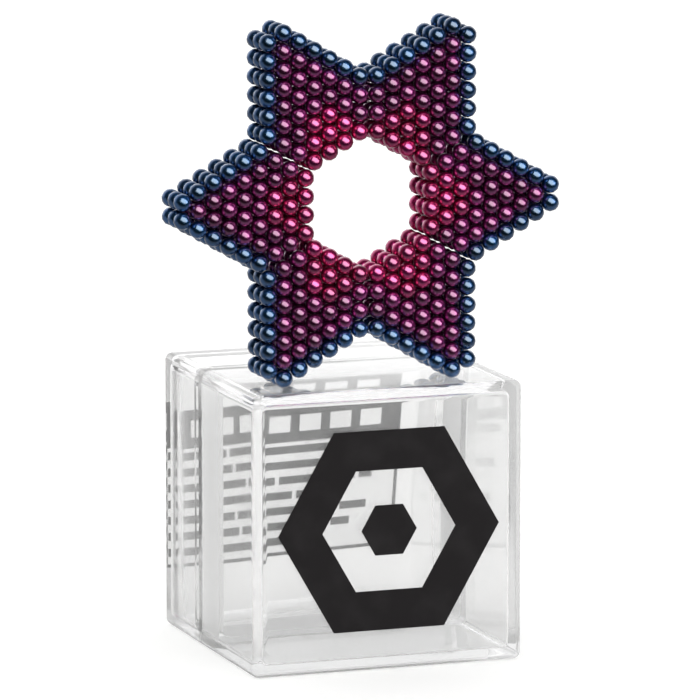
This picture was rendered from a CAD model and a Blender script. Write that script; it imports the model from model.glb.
import math
import random

import bpy
from mathutils import Matrix, Vector


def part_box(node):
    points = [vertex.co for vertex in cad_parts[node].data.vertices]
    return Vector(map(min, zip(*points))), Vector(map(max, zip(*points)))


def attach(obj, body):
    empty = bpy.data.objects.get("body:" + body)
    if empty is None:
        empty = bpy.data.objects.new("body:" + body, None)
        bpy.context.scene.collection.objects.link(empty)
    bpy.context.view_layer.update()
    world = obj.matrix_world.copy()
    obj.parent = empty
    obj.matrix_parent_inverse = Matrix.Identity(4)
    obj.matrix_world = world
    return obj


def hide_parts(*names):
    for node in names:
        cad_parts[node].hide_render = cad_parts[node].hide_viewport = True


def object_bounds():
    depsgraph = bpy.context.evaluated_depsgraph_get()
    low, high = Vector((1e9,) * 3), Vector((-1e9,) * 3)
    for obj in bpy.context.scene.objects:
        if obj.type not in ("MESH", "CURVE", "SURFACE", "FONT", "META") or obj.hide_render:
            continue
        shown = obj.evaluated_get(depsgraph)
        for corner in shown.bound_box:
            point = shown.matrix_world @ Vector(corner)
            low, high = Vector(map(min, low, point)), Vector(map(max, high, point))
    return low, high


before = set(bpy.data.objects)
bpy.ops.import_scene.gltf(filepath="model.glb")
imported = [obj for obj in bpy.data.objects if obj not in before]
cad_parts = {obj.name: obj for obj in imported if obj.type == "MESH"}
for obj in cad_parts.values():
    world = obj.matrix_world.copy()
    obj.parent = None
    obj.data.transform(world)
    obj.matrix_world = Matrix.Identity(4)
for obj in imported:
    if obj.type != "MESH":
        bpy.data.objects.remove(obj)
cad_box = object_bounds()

# ---- Camera ----
# A long lens stands at the front left, a little higher than the object, and looks at its
# middle. The sculpture shows its face, and the case its front, left wall and top.
camera_azimuth = math.radians(-19.74)
camera_elevation = math.radians(9.57)
camera_distance = 0.861
aim_from_middle = Vector((0.0021, -0.0013, -0.003))
camera_back = Vector((
    math.sin(camera_azimuth) * math.cos(camera_elevation),
    -math.cos(camera_azimuth) * math.cos(camera_elevation),
    math.sin(camera_elevation),
))
camera_aim = (cad_box[0] + cad_box[1]) / 2 + aim_from_middle
bpy.ops.object.select_all(action="DESELECT")
bpy.ops.object.camera_add(location=camera_aim + camera_back * camera_distance)
camera = bpy.context.object
camera.name = "camera"
camera.rotation_euler = camera_back.to_track_quat("Z", "Y").to_euler()
camera.data.sensor_width = 36
camera.data.lens = 319.9
camera.data.clip_start = 0.01
camera.data.clip_end = 50
bpy.context.scene.camera = camera

# ---- Studio floor ----
# A wide white sweep that the case stands on. In mirror images it ends a hand's breadth in
# front of the case, and the dim room shows beyond its edge.
floor_width = 12
floor_drop = 0.0001
floor_backlight = 0.25
sweep_reach = 0.05
sweep_fade = 0.03
near_dimming = 0.5
# Ray counts are whole numbers, so half a count parts each one from the next
half_count = 0.5
front_low, front_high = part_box("case_front")


def set_inputs(tree, node, inputs):
    """Links each input that is given another node's output, and sets the others' values."""
    for name, value in inputs.items():
        if isinstance(value, bpy.types.NodeSocket):
            tree.links.new(value, node.inputs[name])
        else:
            node.inputs[name].default_value = value


def add_node(tree, kind, inputs, **options):
    """Adds a shader node, chooses its options, then fills its inputs."""
    node = tree.nodes.new("ShaderNode" + kind)
    for option, choice in options.items():
        setattr(node, option, choice)
    set_inputs(tree, node, inputs)
    return node


def new_material(name):
    """Starts a material and hands over its node tree and its Principled shader too."""
    material = bpy.data.materials.new(name)
    material.use_nodes = True
    return material, material.node_tree, material.node_tree.nodes["Principled BSDF"]


bpy.ops.object.select_all(action="DESELECT")
bpy.ops.mesh.primitive_plane_add(size=floor_width, location=(0, 0, -floor_drop))
floor = bpy.context.object
floor.name = "floor"

sweep_white, tree, shader = new_material("sweep_white")
light_path = add_node(tree, "LightPath", {})
backlight = add_node(
    tree, "Math", {0: light_path.outputs["Is Camera Ray"], 1: floor_backlight},
    operation="MULTIPLY",
)
set_inputs(tree, shader, {
    "Base Color": (0.9, 0.9, 0.89, 1),
    "Roughness": 0.8,
    "Specular IOR Level": 0.1,
    "Emission Color": (1, 1, 1, 1),
    "Emission Strength": backlight.outputs["Value"],
})
place = add_node(tree, "TexCoord", {})
apart = add_node(tree, "SeparateXYZ", {0: place.outputs["Object"]})
beyond = add_node(tree, "MapRange", {
    "Value": apart.outputs["Y"],
    "From Min": front_low.y - sweep_reach,
    "From Max": front_low.y - sweep_reach - sweep_fade,
    "To Min": near_dimming,
})
# Light that has passed through the case's walls sees the whole floor white
mirrored = add_node(
    tree, "Math", {0: beyond.outputs["Result"], 1: light_path.outputs["Is Glossy Ray"]},
    operation="MULTIPLY",
)
outside_case = add_node(
    tree, "Math", {0: light_path.outputs["Transmission Depth"], 1: half_count},
    operation="LESS_THAN",
)
dimmed = add_node(
    tree, "Math", {0: mirrored.outputs["Value"], 1: outside_case.outputs["Value"]},
    operation="MULTIPLY",
)
dim_room = add_node(tree, "Emission", {"Color": (0.012, 0.012, 0.014, 1)})
sweep = add_node(tree, "MixShader", {
    0: dimmed.outputs["Value"],
    1: shader.outputs["BSDF"],
    2: dim_room.outputs["Emission"],
})
set_inputs(tree, tree.nodes["Material Output"], {"Surface": sweep.outputs["Shader"]})
floor.data.materials.append(sweep_white)

# ---- Studio light ----
# White light from all round, as in a light tent. Mirror images show a darker room, with one
# large soft light for the balls, and what is seen through the clear case is bright white.
room = bpy.data.worlds.new("room")
bpy.context.scene.world = room
room.use_nodes = True
tree = room.node_tree
tent = tree.nodes["Background"]
set_inputs(tree, tent, {"Color": (1, 1, 1, 1), "Strength": 1.0})
place = add_node(tree, "TexCoord", {})
apart = add_node(tree, "SeparateXYZ", {0: place.outputs["Generated"]})
light_path = add_node(tree, "LightPath", {})
through_level = add_node(tree, "MapRange", {
    "Value": apart.outputs["Y"], "From Min": -1.0, "From Max": 1.0, "To Min": 1.14, "To Max": 1.28,
})
through = add_node(tree, "Background", {"Color": through_level.outputs["Result"]})
mirror_level = add_node(tree, "MapRange", {
    "Value": apart.outputs["Y"], "From Min": 0.2, "From Max": 0.9, "To Min": 0.035, "To Max": 1.25,
})
mirror = add_node(tree, "Background", {"Color": mirror_level.outputs["Result"]})
past_case = add_node(
    tree, "Math", {0: light_path.outputs["Transmission Depth"], 1: half_count},
    operation="GREATER_THAN",
)
outside = add_node(tree, "MixShader", {
    0: light_path.outputs["Is Glossy Ray"],
    1: tent.outputs["Background"],
    2: mirror.outputs["Background"],
})
surroundings = add_node(tree, "MixShader", {
    0: past_case.outputs["Value"],
    1: outside.outputs["Shader"],
    2: through.outputs["Background"],
})
set_inputs(tree, tree.nodes["World Output"], {"Surface": surroundings.outputs["Shader"]})

# The soft light hangs up to the right of the lens, its long side sloping down to the right
star_middle = Vector((-0.0012, -0.012, 0.064))
softbox_distance = 0.6
camera_right = Vector((math.cos(camera_azimuth), math.sin(camera_azimuth), 0))
camera_up = camera_back.cross(camera_right)
softbox_way = (camera_right * 0.38 + camera_up * 0.30 + camera_back * 0.86).normalized()
softbox_long = camera_right * 0.88 - camera_up * 0.47
softbox_long = (softbox_long - softbox_way * softbox_long.dot(softbox_way)).normalized()
softbox_short = softbox_way.cross(softbox_long)
bpy.ops.object.light_add(type="AREA")
softbox = bpy.context.object
softbox.name = "softbox"
softbox.matrix_world = Matrix((softbox_long, softbox_short, softbox_way)).transposed().to_4x4()
softbox.location = star_middle + softbox_way * softbox_distance
softbox.data.shape = "RECTANGLE"
softbox.data.size = 1.1
softbox.data.size_y = 0.6
softbox.data.energy = 13
softbox.visible_camera = False
softbox.visible_diffuse = False
softbox.visible_transmission = False
# It is flagged off from the case, so that only the balls mirror it
lit_balls = bpy.data.collections.new("lit_balls")
softbox.light_linking.receiver_collection = lit_balls
bpy.context.scene.view_settings.view_transform = "Standard"

# ---- Case, back half ----
# A clear injection-moulded polystyrene cup. A thin matt collar round its mouth reaches
# forward inside the front half and holds the two halves together by friction.
case_width = 0.039
case_wall = 0.0016
case_edge = 0.001
inner_edge = 0.0004
collar_gap = 0.0001
collar_wall = 0.0008
# The collar grows from the wall this far behind the seam
collar_root = 0.003
# A corner this near to a plane lies on it
on_plane = 1e-6
back_low, back_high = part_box("case_back")
seam_y = front_high.y
case_axis = Vector((0, seam_y, case_width / 2))
inner_width = case_width - 2 * case_wall
collar_outer = inner_width - 2 * collar_gap
collar_inner = collar_outer - 2 * collar_wall


def pick_edges(cup, wanted):
    """Selects exactly the edges whose middle's place along the case passes the test."""
    bpy.ops.object.mode_set(mode="EDIT")
    bpy.ops.mesh.select_mode(type="EDGE")
    bpy.ops.mesh.select_all(action="DESELECT")
    bpy.ops.object.mode_set(mode="OBJECT")
    corners = cup.data.vertices
    for edge in cup.data.edges:
        first, second = edge.vertices
        edge.select = wanted((corners[first].co.y + corners[second].co.y) / 2)
    bpy.ops.object.mode_set(mode="EDIT")


def open_box(name, face_y):
    """The outside of one half: a rounded box, open at the seam, with its rim selected."""
    bpy.ops.object.select_all(action="DESELECT")
    bpy.ops.mesh.primitive_cube_add(
        size=1,
        location=(0, (face_y + seam_y) / 2, case_width / 2),
        scale=(case_width, abs(face_y - seam_y), case_width),
    )
    cup = bpy.context.object
    cup.name = name
    bpy.ops.object.transform_apply(location=True, rotation=True, scale=True)
    bpy.ops.object.mode_set(mode="EDIT")
    bpy.ops.mesh.select_mode(type="FACE")
    bpy.ops.mesh.select_all(action="DESELECT")
    bpy.ops.object.mode_set(mode="OBJECT")
    for face in cup.data.polygons:
        face.select = abs(face.center.y - seam_y) < on_plane
    bpy.ops.object.mode_set(mode="EDIT")
    bpy.ops.mesh.delete(type="ONLY_FACE")
    pick_edges(cup, lambda y: abs(y - seam_y) > on_plane)
    bpy.ops.mesh.bevel(offset=case_edge, segments=5, affect="EDGES")
    pick_edges(cup, lambda y: abs(y - seam_y) < on_plane)
    return cup


def draw_rim(along):
    """Carries the selected rim on along the case."""
    bpy.ops.mesh.extrude_edges_move(TRANSFORM_OT_translate={"value": (0, along, 0)})


def step_rim(width, new_width):
    """Carries the selected rim in or out, square to the case's axis, to a new width."""
    share = new_width / width
    bpy.ops.mesh.extrude_edges_move(TRANSFORM_OT_translate={"value": (0, 0, 0)})
    bpy.ops.transform.resize(value=(share, 1, share), center_override=case_axis)


def close_cup(cup, inner_y):
    """Fills the rim as the cup's inner face, rounds the corner round it and cleans up."""
    bpy.ops.mesh.edge_face_add()
    pick_edges(cup, lambda y: abs(y - inner_y) < on_plane)
    bpy.ops.mesh.bevel(offset=inner_edge, segments=3, affect="EDGES")
    bpy.ops.mesh.select_all(action="SELECT")
    bpy.ops.mesh.remove_doubles(threshold=on_plane)
    bpy.ops.mesh.normals_make_consistent(inside=False)
    bpy.ops.object.mode_set(mode="OBJECT")
    bpy.ops.object.shade_smooth_by_angle(angle=math.radians(35))


back_inner_y = back_high.y - case_wall
back_half = open_box("case_back_half", back_high.y)
step_rim(case_width, collar_outer)
draw_rim(back_low.y - seam_y)
step_rim(collar_outer, collar_inner)
draw_rim(seam_y + collar_root - back_low.y)
step_rim(collar_inner, inner_width)
draw_rim(back_inner_y - seam_y - collar_root)
close_cup(back_half, back_inner_y)


def new_group(name, takes, gives):
    """Starts a node group. Hands over the group, its inputs to read and its end node."""
    group = bpy.data.node_groups.new(name, "ShaderNodeTree")
    for socket, kind in takes.items():
        group.interface.new_socket(socket, in_out="INPUT", socket_type="NodeSocket" + kind)
    for socket, kind in gives.items():
        group.interface.new_socket(socket, in_out="OUTPUT", socket_type="NodeSocket" + kind)
    return group, group.nodes.new("NodeGroupInput").outputs, group.nodes.new("NodeGroupOutput")


# What handling leaves on any of the surfaces: a mask of hairline scratches and one of smudges
handling, given, group_end = new_group(
    "handling_scuffs",
    {"Vector": "Vector", "Size": "Float"},
    {"Scratches": "Float", "Smudges": "Float"},
)
scaled = add_node(
    handling, "VectorMath", {0: given["Vector"], "Scale": given["Size"]}, operation="SCALE"
)
smudge_noise = add_node(
    handling, "TexNoise", {"Vector": scaled.outputs["Vector"], "Scale": 140, "Detail": 3}
)
smudges = add_node(
    handling, "MapRange", {"Value": smudge_noise.outputs["Fac"], "From Min": 0.45, "From Max": 0.75}
)
drawn_out = add_node(handling, "Mapping", {
    "Vector": scaled.outputs["Vector"], "Rotation": (0.5, 0.9, 0.4), "Scale": (60, 1800, 900),
})
scratch_noise = add_node(
    handling, "TexNoise", {"Vector": drawn_out.outputs["Vector"], "Scale": 1, "Detail": 1}
)
scratches = add_node(
    handling, "MapRange", {"Value": scratch_noise.outputs["Fac"], "From Min": 0.64, "From Max": 0.74}
)
set_inputs(handling, group_end, {
    "Scratches": scratches.outputs["Result"], "Smudges": smudges.outputs["Result"],
})

# A mask that is 1 within a box, given by its middle and its reach each way
in_box, given, group_end = new_group(
    "inside_box",
    {"Vector": "Vector", "Middle": "Vector", "Reach": "Vector"},
    {"Mask": "Float"},
)
from_middle = add_node(
    in_box, "VectorMath", {0: given["Vector"], 1: given["Middle"]}, operation="SUBTRACT"
)
distance = add_node(in_box, "VectorMath", {0: from_middle.outputs["Vector"]}, operation="ABSOLUTE")
past = add_node(
    in_box, "VectorMath", {0: distance.outputs["Vector"], 1: given["Reach"]}, operation="SUBTRACT"
)
past_each = add_node(in_box, "SeparateXYZ", {0: past.outputs["Vector"]})
past_xy = add_node(
    in_box, "Math", {0: past_each.outputs["X"], 1: past_each.outputs["Y"]}, operation="MAXIMUM"
)
past_any = add_node(
    in_box, "Math", {0: past_xy.outputs["Value"], 1: past_each.outputs["Z"]}, operation="MAXIMUM"
)
inside = add_node(in_box, "Math", {0: past_any.outputs["Value"], 1: 0}, operation="LESS_THAN")
set_inputs(in_box, group_end, {"Mask": inside.outputs["Value"]})

# The plastic is a little milky, and hazier where hands have smudged or scratched it
clear_plastic, tree, shader = new_material("clear_plastic")
place = add_node(tree, "TexCoord", {})
marks = add_node(tree, "Group", {"Vector": place.outputs["Object"], "Size": 1.0}, node_tree=handling)
smudged = add_node(
    tree, "MapRange", {"Value": marks.outputs["Smudges"], "To Min": 0.03, "To Max": 0.07}
)
scratched = add_node(
    tree, "Math", {0: marks.outputs["Scratches"], 1: 0.05, 2: smudged.outputs["Result"]},
    operation="MULTIPLY_ADD",
)
# The collar's faces have a matt tool finish. A hair's breadth keeps them clear of the box's sides
hair = 0.00005
collar_reach = (
    collar_outer / 2 + hair, (seam_y - back_low.y) / 2 - hair, collar_outer / 2 + hair,
)
on_collar = add_node(tree, "Group", {
    "Vector": place.outputs["Object"],
    "Middle": (0, (back_low.y + seam_y) / 2, case_width / 2),
    "Reach": collar_reach,
}, node_tree=in_box)
finish = add_node(tree, "Mix", {
    "Factor": on_collar.outputs["Mask"], "A": scratched.outputs["Value"], "B": 0.45,
}, data_type="FLOAT")
set_inputs(tree, shader, {
    "Base Color": (0.938, 0.938, 0.94, 1),
    "Transmission Weight": 0.93,
    "IOR": 1.5,
    "Roughness": finish.outputs["Result"],
})
# Light that has turned more than three times leaves the walls, which keeps the edges pale
most_turns = 3
light_path = add_node(tree, "LightPath", {})
spent = add_node(
    tree, "Math", {0: light_path.outputs["Ray Depth"], 1: most_turns + half_count},
    operation="GREATER_THAN",
)
leaving = add_node(tree, "BsdfTransparent", {"Color": (0.89, 0.89, 0.89, 1)})
wall = add_node(tree, "MixShader", {
    0: spent.outputs["Value"], 1: shader.outputs["BSDF"], 2: leaving.outputs["BSDF"],
})
# The label's glue joins film and plastic into one clear body, with no gloss between them
label_low, label_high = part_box("label_film")
on_glue = add_node(tree, "Group", {
    "Vector": place.outputs["Object"],
    "Middle": (label_low + label_high) / 2,
    "Reach": (label_high - label_low) / 2 + Vector((0, hair, 0)),
}, node_tree=in_box)
glued = add_node(tree, "BsdfTransparent", {"Color": (0.94, 0.94, 0.94, 1)})
body = add_node(tree, "MixShader", {
    0: on_glue.outputs["Mask"], 1: wall.outputs["Shader"], 2: glued.outputs["BSDF"],
})
lets_lamps_through = add_node(tree, "BsdfTransparent", {"Color": (0.93, 0.935, 0.93, 1)})
plastic = add_node(tree, "MixShader", {
    0: light_path.outputs["Is Shadow Ray"],
    1: body.outputs["Shader"],
    2: lets_lamps_through.outputs["BSDF"],
})
set_inputs(tree, tree.nodes["Material Output"], {"Surface": plastic.outputs["Shader"]})
back_half.data.materials.append(clear_plastic)
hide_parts("case_back")
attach(back_half, "case_back")

# ---- Case, front half ----
# The same clear moulding for the front of the cube. Its plain walls slide over the collar
# and meet the back half at the seam.
front_inner_y = front_low.y + case_wall
front_half = open_box("case_front_half", front_low.y)
step_rim(case_width, inner_width)
draw_rim(front_inner_y - seam_y)
close_cup(front_half, front_inner_y)
front_half.data.materials.append(clear_plastic)
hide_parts("case_front")
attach(front_half, "case_front")

# ---- Front mark ----
# A plain hexagon ring, screen printed on the front face in matt black ink. The ink is a
# little worn where fingers hold the case.
black_ink, tree, shader = new_material("black_ink")
place = add_node(tree, "TexCoord", {})
marks = add_node(tree, "Group", {"Vector": place.outputs["Object"], "Size": 1.5}, node_tree=handling)
worn = add_node(tree, "Mix", {
    "Factor": marks.outputs["Smudges"],
    "A": (0.021, 0.019, 0.02, 1),
    "B": (0.028, 0.026, 0.027, 1),
}, data_type="RGBA")
set_inputs(tree, shader, {
    "Base Color": worn.outputs["Result"],
    "Roughness": 0.75,
    "Specular IOR Level": 0.12,
})


def coat_with(name, material):
    """Puts a finish on a piece of the frame, in place of its plain one."""
    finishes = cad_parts[name].data.materials
    finishes.clear()
    finishes.append(material)


coat_with("front_mark", black_ink)

# ---- Label ----
# A clear self-adhesive film on the back face, printed in the same ink with a header, a
# border and bars. The film is a little cloudy, and faint ripples show where it was rubbed down.
film, tree, shader = new_material("label_film")
place = add_node(tree, "TexCoord", {})
marks = add_node(tree, "Group", {"Vector": place.outputs["Object"], "Size": 1.2}, node_tree=handling)
cloudy = add_node(
    tree, "MapRange", {"Value": marks.outputs["Smudges"], "To Min": 0.12, "To Max": 0.18}
)
gloss = add_node(
    tree, "MapRange", {"Value": marks.outputs["Scratches"], "To Min": 0.25, "To Max": 0.4}
)
ripples = add_node(tree, "Bump", {
    "Strength": 0.15, "Distance": 0.0001, "Height": marks.outputs["Smudges"],
})
set_inputs(tree, shader, {
    "Base Color": (0.95, 0.95, 0.95, 1),
    "Alpha": cloudy.outputs["Result"],
    "Roughness": gloss.outputs["Result"],
    "Normal": ripples.outputs["Normal"],
})
coat_with("label_film", film)
coat_with("label_print", black_ink)

# ---- Magnet balls ----
# Small sintered neodymium magnets, ground round and given a coloured metallic coating that
# is glossy like a bead. Six arms of three layers hold together by their own pull.
ball_across = 0.0025
ball_pitch = 0.00252
# The corners of the few-faced ball stand proud, so that its mean size is right
ball_corner = 0.00126
columns = [4, 5, 6, 7, 6, 5, 4, 3, 2]
widest = 3
tip = len(columns) - 1
column_step = ball_pitch * math.sqrt(3) / 2
first_column = ball_pitch * (1 + 3 * math.sqrt(3) / 2)
arm_angles = {
    "right_arm": 0, "upper_right_arm": 60, "upper_left_arm": 120,
    "left_arm": 180, "lower_left_arm": 240, "lower_right_arm": 300,
}
right_low, right_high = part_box("right_arm_blue")
left_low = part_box("left_arm_blue")[0]
front_layer_y = right_low.y + ball_across / 2
layer_count = round((right_high.y - right_low.y) / ball_pitch)
star_x = (left_low.x + right_high.x) / 2
star_z = (right_low.z + right_high.z) / 2


def tone_of(column, row):
    """Which of the three colours a ball of an arm has."""
    last = columns[column] - 1
    if column == tip or (column >= widest and row in (0, last)):
        return "blue"
    if column < widest and column <= row <= last - column:
        return "pink"
    return "purple"


bpy.ops.object.select_all(action="DESELECT")
bpy.ops.mesh.primitive_ico_sphere_add(subdivisions=1, radius=ball_corner, location=(0, 0, 0))
pattern = bpy.context.object
pattern.name = "ball_pattern"
split = pattern.modifiers.new("split", "SUBSURF")
split.levels = 1
split.render_levels = 1
bpy.ops.object.modifier_apply(modifier="split")
rounding = pattern.modifiers.new("rounding", "CAST")
rounding.factor = 1
rounding.use_radius_as_size = False
rounding.size = ball_corner
bpy.ops.object.modifier_apply(modifier="rounding")
bpy.ops.object.shade_smooth()
pattern_mesh = pattern.data.copy()
bpy.data.objects.remove(pattern)
pattern_mesh.attributes.new("ball_tone", "FLOAT", "POINT")

# How one ball's coating differs from the next: its own depth of colour, cloudy patches
# and hairline scratches
coating, _, group_end = new_group(
    "coating_wear", {}, {"Depth": "Float", "Roughness": "Float", "Normal": "Vector"}
)
place = add_node(coating, "TexCoord", {})
own_tone = add_node(coating, "Attribute", {}, attribute_name="ball_tone")
own_depth = add_node(
    coating, "MapRange", {"Value": own_tone.outputs["Fac"], "To Min": 0.72, "To Max": 1.28}
)
marks = add_node(coating, "Group", {"Vector": place.outputs["Object"], "Size": 6}, node_tree=handling)
cloudy = add_node(
    coating, "Math", {0: marks.outputs["Smudges"], 1: -0.2, 2: own_depth.outputs["Result"]},
    operation="MULTIPLY_ADD",
)
worn_finish = add_node(
    coating, "Math", {0: marks.outputs["Scratches"], 1: 0.14, 2: 0.28}, operation="MULTIPLY_ADD"
)
ripple = add_node(coating, "Bump", {
    "Strength": 0.12, "Distance": 0.00002, "Height": marks.outputs["Smudges"],
})
set_inputs(coating, group_end, {
    "Depth": cloudy.outputs["Value"],
    "Roughness": worn_finish.outputs["Value"],
    "Normal": ripple.outputs["Normal"],
})

# The lacquer mutes the colour where it faces the eye and shows it in full at the sides
facing_colours = {
    "blue": (0.003, 0.032, 0.07, 1),
    "purple": (0.078, 0.007, 0.046, 1),
    "pink": (0.19, 0.005, 0.08, 1),
}
side_colours = {
    "blue": (0.003, 0.07, 0.22, 1),
    "purple": (0.22, 0.006, 0.14, 1),
    "pink": (0.44, 0.005, 0.13, 1),
}
coats = {}
for tone in facing_colours:
    coats[tone], tree, shader = new_material(tone + "_coat")
    wear = add_node(tree, "Group", {}, node_tree=coating)
    slant = add_node(tree, "LayerWeight", {"Blend": 0.5})
    to_side = add_node(
        tree, "MapRange", {"Value": slant.outputs["Facing"], "From Min": 0.03, "From Max": 0.25},
        interpolation_type="SMOOTHSTEP",
    )
    lacquer = add_node(tree, "Mix", {
        "Factor": to_side.outputs["Result"], "A": facing_colours[tone], "B": side_colours[tone],
    }, data_type="RGBA")
    deepened = add_node(
        tree, "VectorMath", {0: lacquer.outputs["Result"], "Scale": wear.outputs["Depth"]},
        operation="SCALE",
    )
    set_inputs(tree, shader, {
        "Base Color": deepened.outputs["Vector"],
        "Metallic": 1.0,
        "Roughness": wear.outputs["Roughness"],
        "Normal": wear.outputs["Normal"],
        "Coat Weight": 1.0,
        "Coat Roughness": 0.17,
        "Coat IOR": 1.65,
    })

dice = random.Random(7)
for arm, degrees in arm_angles.items():
    turn = math.radians(degrees)
    places = {"blue": [], "purple": [], "pink": []}
    for column, count in enumerate(columns):
        out = first_column + column * column_step
        for row in range(count):
            across = (row - (count - 1) / 2) * ball_pitch
            x = star_x + out * math.cos(turn) - across * math.sin(turn)
            z = star_z + out * math.sin(turn) + across * math.cos(turn)
            for layer in range(layer_count):
                spot = Vector((x, front_layer_y + layer * ball_pitch, z))
                places[tone_of(column, row)].append(spot)
    for tone, spots in places.items():
        bpy.ops.object.select_all(action="DESELECT")
        for spot in spots:
            ball = bpy.data.objects.new(f"{arm}_{tone}_balls", pattern_mesh.copy())
            ball.location = spot
            ball.rotation_euler = [dice.uniform(0, math.tau) for _ in range(3)]
            depths = [dice.random()] * len(ball.data.vertices)
            ball.data.attributes["ball_tone"].data.foreach_set("value", depths)
            bpy.context.collection.objects.link(ball)
            ball.select_set(True)
            bpy.context.view_layer.objects.active = ball
        bpy.ops.object.join()
        cluster = bpy.context.object
        bpy.ops.object.transform_apply(location=True, rotation=True, scale=True)
        cluster.name = f"{arm}_{tone}_balls"
        cluster.data.materials.append(coats[tone])
        lit_balls.objects.link(cluster)
        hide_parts(f"{arm}_{tone}")
        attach(cluster, "star_base" if arm.startswith("lower") else arm)
